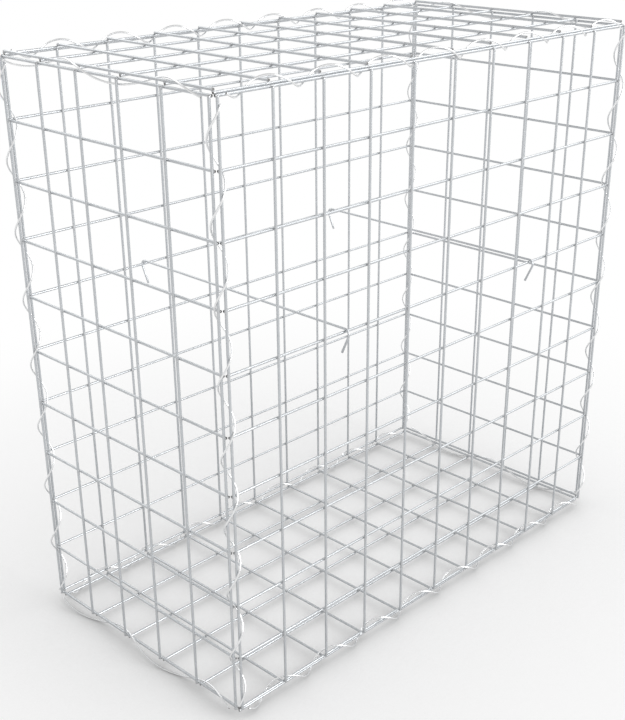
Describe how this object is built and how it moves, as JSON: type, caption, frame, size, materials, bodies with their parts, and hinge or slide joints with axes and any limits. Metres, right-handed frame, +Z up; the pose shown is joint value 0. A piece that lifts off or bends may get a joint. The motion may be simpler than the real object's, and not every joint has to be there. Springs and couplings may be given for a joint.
{
  "type": "welded mesh gabion basket",
  "caption": "Empty box-shaped gabion basket of welded steel mesh with a lid, laced along its edges by spiral wires and stayed by hooked spacer wires.",
  "frame": {"origin": "on the ground under the middle of the basket", "axes": "+X along the length, +Y across the depth from front to back, +Z up"},
  "size_m": [1.0366, 0.5372, 1.0371],
  "materials": {
    "mesh_wire": "dull hot-dip galvanised wire",
    "lacing_wire": "bright galvanised wire",
    "spacer_wire": "dull hot-dip galvanised wire"
  },
  "bodies": {
    "root": {"front_panel": "mesh_wire", "back_panel": "mesh_wire", "left_panel": "mesh_wire", "right_panel": "mesh_wire", "bottom_panel": "mesh_wire", "lid_panel": "mesh_wire", "front_left_spiral": "lacing_wire", "back_left_spiral": "lacing_wire", "front_right_spiral": "lacing_wire", "back_right_spiral": "lacing_wire", "front_top_spiral": "lacing_wire", "back_top_spiral": "lacing_wire", "front_bottom_spiral": "lacing_wire", "back_bottom_spiral": "lacing_wire", "left_top_spiral": "lacing_wire", "right_top_spiral": "lacing_wire", "left_bottom_spiral": "lacing_wire", "right_bottom_spiral": "lacing_wire", "left_spacer": "spacer_wire", "right_spacer": "spacer_wire"}
  },
  "joints": []
}
